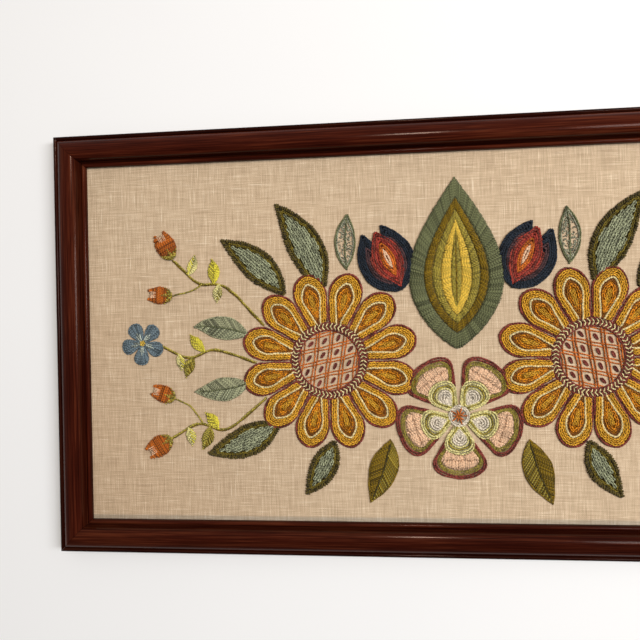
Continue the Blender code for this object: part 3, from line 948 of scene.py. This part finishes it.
def long_and_short(work, petal, inset, yarn, columns=27, length=7.5):
    """Rows of straight stitches that follow the petal's axis and fan out to its edge."""
    tip = petal.form.outer - inset
    reach = np.linspace(petal.base, tip, 60)
    whole = petal.base + (reach - petal.base) * (petal.form.outer - petal.base) / (tip - petal.base)
    half = np.maximum(petal.half(whole) - inset, 0)
    for j in range(columns):
        lateral = half.max() * (-1 + 2 * (j + 0.5) / columns)
        room = half > abs(lateral)
        if room.sum() < 4:
            continue
        room &= ~work.hidden(petal.at(reach, np.full(len(reach), lateral * 0.97)))
        if room.sum() < 4:
            continue
        low, high = reach[room][0], reach[room][-1]
        cuts = np.arange(petal.base - 6.5 + rng.uniform(0, 1.5), high, length)
        starts = np.clip(cuts, low, high)
        stops = np.clip(cuts + length + 0.1, low, high)
        keep = stops - starts > 1.5
        offset = np.full(keep.sum(), lateral)
        satin(work, petal.at(starts[keep], offset * 0.94), petal.at(stops[keep], offset), yarn,
              radius=0.72, base=0.85, arch=0.6, tone=0.72, spread=0.55)


# Motifs

UNDERLAP = 0.8


def narrowed(leaf):
    """A leaf's outline drawn in, so what lies behind it ends under its edge."""
    return of_leaf(leaf._replace(width=leaf.width - 2 * UNDERLAP)).outline()


def drawn_in(form):
    """A bloom's outline drawn in, for the same purpose."""
    return bloom_outline(form._replace(inner=form.inner - UNDERLAP, outer=form.outer - UNDERLAP))


def trimmed(grid, hiders):
    """The mat sinks into the linen where a motif in front covers it."""
    grid = grid.copy()
    flat = grid.reshape(-1, 3)
    for outline in hiders:
        flat[inside(flat[:, :2], outline), 2] = LINEN_TOP - 0.05
    return grid


GOLD_OUTLINE = drawn_in(GOLD)
ROSE_OUTLINE = drawn_in(ROSE)
BUD_OUTLINE = narrowed(BUD_SHEATH)
HEART_OUTLINE = narrowed(LEAVES["tulip_heart"])
INNER_PETAL_OUTLINE = narrowed(LEAVES["tulip_inner_petal"])

GOLD_ROWS = (("burgundy", 2.0), ("gold", 3.0), ("gold", 2.8), ("cream", 2.0), ("brown", 1.8), ("amber", 3.0))


def gold_blooms():
    """Petals of chain rows in striped golds with a burgundy edge."""
    for half in HALVES:
        work = Stitching("gold_bloom", half, [ROSE_OUTLINE])
        for number in range(GOLD.petals):
            petal = Petal(GOLD, number, COLLAR_OUTER)
            work.ground(petal.mat(0.7), "amber")
            inset = 0.2
            for yarn, width in GOLD_ROWS:
                inset += width * 0.42
                path = petal.row(inset)
                if yarn == "burgundy":
                    stem(work, path, width * 1.1, yarn, base=0.30)
                elif yarn == "cream":
                    stem(work, path, width, yarn, base=0.95, pitch=3.2)
                else:
                    chain(work, path, width, yarn, base=0.75, tone=rng.uniform(0.35, 0.65))
                inset += width * 0.42
            spine = petal.spine(inset + 0.2)
            for offset in (-1.1, 1.1):
                chain(work, spine[2:-2] + petal.normal * offset, 2.1, "gold", base=1.0)
        work.build("wool_gold", "bloom_petals")


COLLAR_STITCHES = 108
COLLAR_SLANT = 0.075


def collars():
    """Fishbone bands of burgundy and cream round the blooms, stem-stitched at both edges."""
    turn = 2 * math.pi * np.arange(COLLAR_STITCHES) / COLLAR_STITCHES
    middle = (COLLAR_OUTER + COLLAR_INNER) / 2
    centre = centre_of(GOLD)
    for half in HALVES:
        work = Stitching("bloom_collar_band", half)
        work.ground(ring_mat(GOLD, COLLAR_INNER + 0.5, COLLAR_OUTER - 0.5, 97, 0.45), "burgundy")
        for near, far in ((COLLAR_OUTER - 0.9, middle - 0.2), (COLLAR_INNER + 0.9, middle + 0.2)):
            for first, yarn in enumerate(("burgundy", "cream")):
                part = turn[first::2]
                satin(work, centre + near * ray(part), centre + far * ray(part + COLLAR_SLANT), yarn,
                      radius=0.62, base=0.8, arch=0.5)
        for radius in (COLLAR_OUTER - 0.4, COLLAR_INNER + 0.4):
            stem(work, circle(GOLD, radius), 1.7, "burgundy", base=0.45)
        work.build("wool_burgundy", "bloom_collar")


TRELLIS_PITCH = 12.5
TRELLIS_GAP = 1.35
TRELLIS_LEANS = (math.radians(12), math.radians(82))
TRELLIS_REACH = COLLAR_INNER - 0.4


def trellises():
    """Open lattice on bare linen inside each collar, with a burgundy loop in every cell."""
    centre = centre_of(GOLD)
    a, b = ray(np.array(TRELLIS_LEANS))
    middles = (-1.5, -0.5, 0.5, 1.5)
    cells = [centre + (a * i + b * j) * TRELLIS_PITCH * 1.06 for i in middles for j in middles]
    cells = np.array([cell for cell in cells if np.linalg.norm(cell - centre) < TRELLIS_REACH - 4])
    for half in HALVES:
        work = Stitching("trellis", half)
        for lean, layer in zip(TRELLIS_LEANS, (0.05, 0.45)):
            direction = ray(lean)
            normal = left_of(direction)
            for k in (-2, -1, 0, 1, 2):
                for gap in (-TRELLIS_GAP, TRELLIS_GAP):
                    offset = k * TRELLIS_PITCH + gap
                    if abs(offset) >= TRELLIS_REACH - 1:
                        continue
                    run = math.sqrt(TRELLIS_REACH ** 2 - offset ** 2)
                    line = centre + normal * offset + direction * np.linspace(-run, run, 30)[:, None]
                    line = line + normal * (0.25 * np.sin(np.linspace(0, 7, 30) + k))[:, None]
                    stem(work, line, 1.35, "lattice", base=layer, pitch=3.0)
        headings = rng.normal(math.radians(58), 0.10, len(cells))
        loops(work, cells, headings, 6.4, 2.4, "burgundy")
        direction = ray(headings)
        satin(work, cells - direction * 2.2, cells + direction * 2.0, "burgundy", base=0.3, arch=0.2)
        work.build("wool_rust")


def bud():
    """Nested satin bands: sage, olive gold, light olive and yellow, with a light olive spine."""
    sheath, band, heart = of_leaf(BUD_SHEATH), of_leaf(BUD_BAND), of_leaf(BUD_HEART)
    work = Stitching("bud_sheath_stitches")
    satin_band(work, sheath, band, "sage", 0.10)
    work.build("wool_sage", "bud_sheath")
    work = Stitching("bud_band_stitches")
    split = Blade(0, BUD_BAND.y + 9, 90, BUD_BAND.length - 20, 43, 0, 0.42)
    satin_band(work, band, split, "olive", -0.10)
    satin_band(work, split, heart, "light_olive", 0.15)
    work.build("wool_olive", "bud_band")
    work = Stitching("bud_heart_stitches")
    spine = Blade(0, BUD_HEART.y + 8, 90, BUD_HEART.length - 16, 9, 0, 0.40)
    satin_band(work, heart, spine, "yellow", -0.10)
    satin_band(work, spine, None, "light_olive", 1.20)
    stem(work, spine.centre[6:-10], 1.3, "olive", base=1.4)
    work.build("wool_yellow", "bud_heart")


PETAL_YARNS = ("navy", "navy", "navy", "navy", "plum", "plum", "burgundy")
HEART_YARNS = ("brick", "burgundy", "brick", "brick", "rust", "lattice", "peach")
TULIP = (
    ("tulip_outer_petal", "wool_navy", [HEART_OUTLINE, INNER_PETAL_OUTLINE], PETAL_YARNS),
    ("tulip_inner_petal", "wool_navy", [HEART_OUTLINE, BUD_OUTLINE], PETAL_YARNS),
    ("tulip_heart", "wool_brick", [BUD_OUTLINE], HEART_YARNS),
)


def tulips():
    """Navy petals with plum and burgundy rows, and a brick heart."""
    for half in HALVES:
        for name, slot, hiders, yarns in TULIP:
            work = Stitching(name + "_stitches", half, hiders)
            blade = of_leaf(LEAVES[name])
            work.ground(trimmed(blade.mat(0.75), hiders), yarns[0])
            for k, yarn in enumerate(yarns):
                stem(work, blade.row(0.9 + 1.95 * k), 2.15, yarn, base=0.75, pitch=3.4)
            work.build(slot, name)


ROPE_WIDTH = 3.6
GOLD_ROW_WIDTH = 2.3


def dark_leaves():
    """Leaves of chain rows: a ropey dark olive edge, olive gold, and a teal middle."""
    for half in HALVES:
        for name in ("crown_leaf", "shoulder_leaf", "hip_leaf", "root_leaf"):
            work = Stitching(name + "_stitches", half, [GOLD_OUTLINE])
            blade = of_leaf(LEAVES[name])
            work.ground(trimmed(blade.mat(0.6), [GOLD_OUTLINE]), "dark_olive")
            inset = 0.1 + ROPE_WIDTH / 2
            for side in (1, -1):
                ropey_edge(work, blade.row(inset, (side,)), ROPE_WIDTH, "dark_olive", side)
            inset += (ROPE_WIDTH + GOLD_ROW_WIDTH) / 2
            for side in (1, -1):
                chain(work, blade.row(inset, (side,)), GOLD_ROW_WIDTH, "leaf_gold", base=0.55, pitch=3.6)
            inset += GOLD_ROW_WIDTH / 2
            for k in range(-5, 6):
                chain(work, blade.line(2.45 * k, inset + 0.9), 2.9, "teal", base=0.65, pitch=3.9)
            work.build("wool_dark_olive", name)


SAGE_YARNS = ("grey_sage", "teal", "sage")
SAGE_LEAVES = (
    ("upper_sage_leaf", "wool_sage", SAGE_YARNS),
    ("lower_sage_leaf", "wool_sage", SAGE_YARNS),
    ("foot_leaf", "wool_olive", ("olive", "light_olive", "dark_olive")),
)


def sage_leaves():
    """Flat fishbone leaves with a dark stem-stitched edge and midrib."""
    hiders = [GOLD_OUTLINE, ROSE_OUTLINE]
    for half in HALVES:
        for name, slot, yarns in SAGE_LEAVES:
            work = Stitching(name + "_stitches", half, hiders)
            blade = of_leaf(LEAVES[name])
            work.ground(trimmed(blade.mat(0.6), hiders), yarns[0])
            fishbone(work, blade, yarns[0], yarns[1])
            stem(work, blade.row(0.5), 1.5, yarns[0], base=0.5)
            stem(work, blade.centre[8:-10], 1.2, yarns[2], base=1.25)
            work.build(slot, name)


SEEDS = 150


def grey_leaves():
    """Bare linen sprinkled with grey seeding, inside a stem-stitched edge."""
    blade = of_leaf(LEAVES["grey_leaf"])
    for half in HALVES:
        work = Stitching("grey_leaf_stitches", half)
        stem(work, blade.row(0.7), 1.7, "sage", base=0.35)
        stem(work, blade.row(2.3), 1.5, "grey", base=0.35)
        stem(work, blade.centre[6:-8], 1.5, "sage", base=0.45)
        s = rng.uniform(0.08, 0.92, SEEDS)
        t = rng.uniform(-1, 1, SEEDS)
        places = blade.point(s, t * np.maximum(blade.half_at(s) - 3.4, 0))
        reach = ray(rng.uniform(0, math.pi, SEEDS)) * 1.1
        satin(work, places - reach, places + reach, "grey", radius=0.42, base=0.45, arch=0.2)
        work.build("wool_grey", "grey_leaf")


# Rows of the rose's petals: stitch, inset, width, yarn and height
ROSE_ROWS = (
    (stem, 0.9, 2.0, "burgundy", 0.5),
    (stem, 2.6, 1.9, "burgundy", 0.6),
    (chain, 4.5, 2.0, "light_olive", 0.6),
    (chain, 6.3, 1.8, "moss", 0.6),
)
ROSE_HEART_YARNS = ("pale", "pale", "light_olive", "pale", "white", "white", "white", "white")


def rose():
    """Peach long-and-short petals inside burgundy and green rows, a pale heart and a rust eye."""
    heart_outline = bloom_outline(ROSE_HEART)
    work = Stitching("rose_petals_stitches", hiders=[heart_outline])
    for number in range(ROSE.petals):
        petal = Petal(ROSE, number, ROSE_HEART.inner + 4)
        work.ground(trimmed(petal.mat(0.7), [heart_outline]), "peach")
        for stitch, inset, width, yarn, base in ROSE_ROWS:
            stitch(work, petal.row(inset), width, yarn, base=base)
        long_and_short(work, petal, 7.3, "peach")
    work.build("wool_peach", "rose_petals")
    work = Stitching("rose_heart_stitches", hiders=[circle(ROSE, ROSE_EYE)[:-1]])
    for number in range(ROSE.petals):
        petal = Petal(ROSE_HEART, number, ROSE_EYE)
        work.ground(petal.mat(0.7), "white")
        for k, yarn in enumerate(ROSE_HEART_YARNS):
            stem(work, petal.row(0.9 + 1.75 * k), 1.85, yarn, base=0.75)
    work.build("wool_pale", "rose_heart")
    work = Stitching("rose_eye_stitches")
    centre = centre_of(ROSE)
    work.ground(ring_mat(ROSE, 0.4, ROSE_EYE - 0.8, 41, 0.7), "white")
    stem(work, circle(ROSE, ROSE_EYE - 0.9), 1.8, "white", base=0.7)
    stem(work, circle(ROSE, ROSE_EYE - 2.7), 1.8, "white", base=0.8)
    for k in range(10):
        direction = ray(2 * math.pi * k / 10)[None]
        length = 8.4 if k % 2 == 0 else 5.4
        satin(work, centre + direction * 0.8, centre + direction * length, "lattice", radius=0.62,
              base=1.3, arch=0.5)
    knots(work, [centre], "brown", 1.2, base=1.2)
    work.build("wool_rust", "rose_eye")


CUP_MOUTH = 0.80


def cup_half(cup, along):
    """Half width of a cup at a share of its length."""
    return cup.width / 2 * np.sin(math.pi * CUP_FULLNESS * along ** CUP_BELLY_POWER)


def cups():
    """Small rust cups of satin across the form, with two tips, pale lines and green sepals."""
    for half in HALVES:
        for cup in CUPS:
            work = Stitching(cup.name + "_stitches", half)
            direction = ray(math.radians(cup.heading))

            def at(share, offset):
                """The point at a share of the cup's length and a distance to its left."""
                return (centre_of(cup) + direction * (share * cup.length)[..., None]
                        + left_of(direction) * offset[..., None])

            share = np.linspace(0.02, 0.84, 14)
            t = np.linspace(-1, 1, 7)
            flat = at(np.repeat(share[:, None], len(t), 1), (cup_half(cup, share) - 0.4)[:, None] * t)
            work.ground(lift(flat, 0.75 * (1 - t ** 4)), "rust")
            share = np.linspace(0.02, 0.99, int(cup.length / 1.05))
            whole, tips = share[share <= CUP_MOUTH], share[share > CUP_MOUTH]
            swell = cup_half(cup, whole)
            satin(work, at(whole, swell), at(whole, -swell), "rust", base=0.9, arch=0.55, spread=0.3)
            swell = cup_half(cup, tips)
            gap = (tips - CUP_MOUTH) / 0.20 * swell * 0.62
            for sign in (1, -1):
                satin(work, at(tips, sign * swell), at(tips, sign * gap), "rust", base=0.9, arch=0.35)
            lines = np.linspace(-0.55, 0.55, 5) * cup.width
            satin(work, at(np.full(5, 0.66), lines * 0.25), at(np.full(5, 0.93), lines * 0.30), "peach",
                  base=1.2, arch=0.3)
            for sign in (-1, 0, 1):
                sepal = Blade(cup.x, cup.y, cup.heading + sign * 48, 10.5, 4.6)
                fishbone(work, sepal, "moss", "olive", pitch=1.5, base=1.45, arch=0.35)
            work.build("wool_rust", cup.name)


def blossoms():
    """Sky-blue buttonhole flowers with a pale blue star and yellow knots."""
    centre = centre_of(BLOSSOM)
    for half in HALVES:
        work = Stitching("blossom_stitches", half)
        for number in range(BLOSSOM.petals):
            petal = Petal(BLOSSOM, number, 2.0)
            work.ground(petal.mat(0.7), "sky")
            points = resample(petal.row(0.7), 1.15)[0]
            share = np.where(np.arange(len(points)) % 2 == 0, 0.34, 0.46)
            satin(work, points, centre + (points - centre) * share[:, None], "sky", base=0.85, arch=0.5)
            stem(work, petal.row(0.4), 1.3, "sky", base=0.5)
            for lean, length in ((-0.20, 9.5), (0.0, 12.5), (0.20, 9.5)):
                direction = ray(petal.axis + lean)[None]
                satin(work, centre + direction * 2.5, centre + direction * length, "pale_blue",
                      radius=0.62, base=1.25, arch=0.5)
        around = centre + 1.9 * ray(np.arange(5) * 1.2566)
        knots(work, np.concatenate([around, centre[None]]), "yellow", 0.95, base=1.3)
        work.build("wool_sky", "blossom")


STEM_REACH = 3.2


def reaching(path):
    """The path carried on a little way, so a stem ends under its flower."""
    step = path[-1] - path[-3]
    return np.concatenate([path, [path[-1] + step * STEM_REACH / np.linalg.norm(step)]])


def sprays():
    """Stem-stitched sprays with small fishbone leaves."""
    for half in HALVES:
        for row in SPRAYS:
            work = Stitching(row.name + "_stitches", half)
            path = smooth_path(row.stem)
            stem(work, reaching(path), 1.7, "moss", base=0.25)
            normal = left_of(np.gradient(path, axis=0))
            normal /= np.linalg.norm(normal, axis=1, keepdims=True)
            stem(work, reaching(path + normal * 1.15), 1.4, "olive", base=0.2)
            if row.twig:
                start = path[round(row.twig_at * (len(path) - 1))]
                stem(work, reaching(smooth_path((tuple(start), *row.twig))), 1.6, "moss", base=0.3)
            for leaf in row.leaves:
                root = path[round(leaf.at * (len(path) - 1))]
                blade = Blade(*root, leaf.heading, leaf.length - 2, leaf.width, leaf.bend)
                work.ground(blade.mat(0.45), leaf.yarns[0])
                fishbone(work, blade, *leaf.yarns, pitch=1.25, slope=0.8, base=0.6)
            work.build("wool_moss", row.name)


# Linen and frame

LINEN_CELL = 4.0
LINEN_THICKNESS = 1.3
LINEN_DROP = 0.05
EDGE_WAVE = 0.35
EDGE_WAVE_REACH = 16.0
EDGE_WAVE_PITCH = 58.0
FAINT_WAVE = 0.05


def linen():
    """The stretched ground: a sheet with faint unevenness and small dips between its fixings."""
    low = np.array(LINEN_BOX[0][:2]) / MM
    high = np.array(LINEN_BOX[1][:2]) / MM
    columns, rows = ((high - low) / LINEN_CELL).astype(int) + 1
    x, y = np.meshgrid(np.linspace(low[0], high[0], columns), np.linspace(low[1], high[1], rows))
    inset = np.minimum(high[0] - np.abs(x), high[1] - np.abs(y))
    nearness = np.clip(1 - inset / EDGE_WAVE_REACH, 0, 1)
    wave = 0.5 - 0.5 * np.cos(2 * math.pi * (x + 0.6 * y) / EDGE_WAVE_PITCH)
    faint = np.sin(x / 23.0 + 2.0 * np.sin(y / 41.0)) * np.sin(y / 19.0 + 1.3 * np.sin(x / 57.0))
    top = LINEN_TOP - EDGE_WAVE * nearness * wave - LINEN_DROP + FAINT_WAVE * faint
    vertices = np.concatenate([np.stack([x, y, height], -1).reshape(-1, 3)
                               for height in (top, top - LINEN_THICKNESS)]) * MM
    quads = np.roll(slab_faces(rows, columns)[:, ::-1], 1, axis=1)
    made = mesh_object("linen", vertices, quads, materials=[linen_material()])
    made.data.set_sharp_from_angle(angle=math.radians(40))
    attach(made, "root")
    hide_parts("linen_ground")


MOULDING = OUTER_HALF_WIDTH - SIGHT_HALF_WIDTH
MITRE_SETBACK = 0.15
OUTER_BEAD = (1.8, 12.6)
QUIRK = (3.9, 12.2)
CUSHION_START = (4.3, 14.2)
CUSHION_CREST = (16.0, 19.6)
CUSHION_END = (23.2, 17.1)
STEP = ((23.35, 16.7), (23.8, 11.4), (24.0, 10.3), (24.2, 9.5))
GROOVE = (24.9, 8.5)
LIP_BEAD = (2.0, 8.0)
RABBET = (5.5, 5.5)
RAIL_STATIONS = 25.0
# Share of the mahogany's own colour kept across the section, from the outer edge; the rest is painted shade,
# strongest on the outer bead, in the quirk and in the step and groove by the lip
MOULDING_SHADE = ((0.0, 1.2, 3.4, 4.4, 6.5, 20.0, 23.0, 23.8, 24.6, 25.3, 26.4, 28.4, 29.0),
         (0.15, 0.22, 0.45, 0.80, 1.0, 1.0, 0.80, 0.60, 0.50, 0.60, 1.0, 1.0, 0.70))
# Each rail's share of its moulding's colour: painted shade darkens the bottom rail most, and the stiles are a
# little darker too
RAIL_SHADE = {"top_rail": 1.0, "bottom_rail": 0.70, "left_stile": 0.9, "right_stile": 0.9}


def arc(centre, radius, start, end, steps):
    angle = np.radians(np.linspace(start, end, steps + 1))
    return list(zip(centre[0] + radius * np.cos(angle), centre[1] + radius * np.sin(angle)))


def crown(foot, crest, steps):
    """An arc from a foot up to the crest, where it runs level."""
    across, rise = crest[0] - foot[0], crest[1] - foot[1]
    radius = (across ** 2 + rise ** 2) / (2 * rise)
    centre = (crest[0], crest[1] - radius)
    first = math.degrees(math.atan2(foot[1] - centre[1], foot[0] - centre[0]))
    return arc(centre, radius, first, 90, steps)


def moulding_section():
    """The rail's section, finely rounded, from its back outer corner."""
    points = [(0.4, 0.0), (0.1, 0.1), (0.0, 0.4)]
    points += arc(OUTER_BEAD, OUTER_BEAD[0], 180, 15, 14)
    points += [(QUIRK[0] - 0.15, QUIRK[1]), (QUIRK[0] + 0.2, QUIRK[1])]
    points += crown(CUSHION_START, CUSHION_CREST, 22)
    points += crown(CUSHION_END, CUSHION_CREST, 14)[-2::-1]
    points += [*STEP, GROOVE]
    points += arc((MOULDING - LIP_BEAD[0], LIP_BEAD[1]), LIP_BEAD[0], 150, 0, 14)
    points += [(MOULDING, RABBET[1]), (MOULDING - RABBET[0], RABBET[1]), (MOULDING - RABBET[0], 0.0)]
    return np.array(points)


LACQUER_DROP = 0.06
LACQUER_WAVES = ((0.035, 37.0), (0.02, 11.0))


def rail(name, outer_length, middle, turn, rail_shade):
    """A mitred rail along its own X, with very slight unevenness in the lacquered face and painted shade along
    its section.
    """
    section = moulding_section()
    count = len(section)
    stations = int(outer_length / RAIL_STATIONS)
    (slow, slow_length), (quick, quick_length) = LACQUER_WAVES
    vertices = []
    for k in range(stations + 1):
        x = (outer_length / 2 - section[:, 0] - MITRE_SETBACK) * (-1 + 2 * k / stations)
        drift = slow * np.sin(x / slow_length + turn) + quick * np.sin(x / quick_length)
        height = section[:, 1] - np.where(section[:, 1] > 6.0, LACQUER_DROP + drift, 0.0)
        vertices.append(np.stack([x, -section[:, 0], height], axis=1))
    k, j = np.meshgrid(np.arange(stations), np.arange(count), indexing="ij")
    a = (k * count + j).ravel()
    b = (k * count + (j + 1) % count).ravel()
    quads = np.stack([a, b, b + count, a + count], axis=1)
    made = mesh_object(name, np.concatenate(vertices) * MM, quads, materials=[MAHOGANY])
    cap_ends(made, count, stations)
    # Per-vertex share of the mahogany's colour across the section; the rest is painted shade
    point_values(made, "moulding_shade", "FLOAT", "value",
                 np.tile(np.interp(section[:, 0], *MOULDING_SHADE) * rail_shade, stations + 1))
    made.data.set_sharp_from_angle(angle=math.radians(38))
    made.location = (middle[0] * MM, middle[1] * MM, 0)
    made.rotation_euler.z = math.radians(turn)
    return made


def cap_ends(made, count, stations):
    """Close a rail's mitred ends with one flat face each."""
    work = bmesh.new()
    work.from_mesh(made.data)
    work.verts.ensure_lookup_table()
    work.faces.new([work.verts[i] for i in range(count)])
    last = stations * count
    work.faces.new([work.verts[last + i] for i in reversed(range(count))])
    bmesh.ops.recalc_face_normals(work, faces=work.faces)
    work.to_mesh(made.data)
    work.free()
    made.data.shade_smooth()


def rails():
    width = OUTER_HALF_WIDTH * 2
    height = OUTER_HALF_HEIGHT * 2
    for node, length, middle, turn in (
            ("top_rail", width, (0, OUTER_HALF_HEIGHT), 0),
            ("bottom_rail", width, (0, -OUTER_HALF_HEIGHT), 180),
            ("left_stile", height, (-OUTER_HALF_WIDTH, 0), 90),
            ("right_stile", height, (OUTER_HALF_WIDTH, 0), 270)):
        made = rail(node + "_moulding", length, middle, turn, RAIL_SHADE[node])
        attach(made, "root")
        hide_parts(node)


def floor():
    bpy.ops.mesh.primitive_plane_add(size=6.0, location=(0, 0, 0))
    plane = bpy.context.object
    plane.name = "floor"
    plane.data.materials.append(floor_material())


make_camera()
make_lights()
MAHOGANY = mahogany_material()
floor()
rails()
linen()
gold_blooms()
collars()
trellises()
bud()
tulips()
dark_leaves()
sage_leaves()
grey_leaves()
rose()
cups()
blossoms()
sprays()

bpy.context.scene.view_settings.view_transform = "Standard"
bpy.context.view_layer.update()
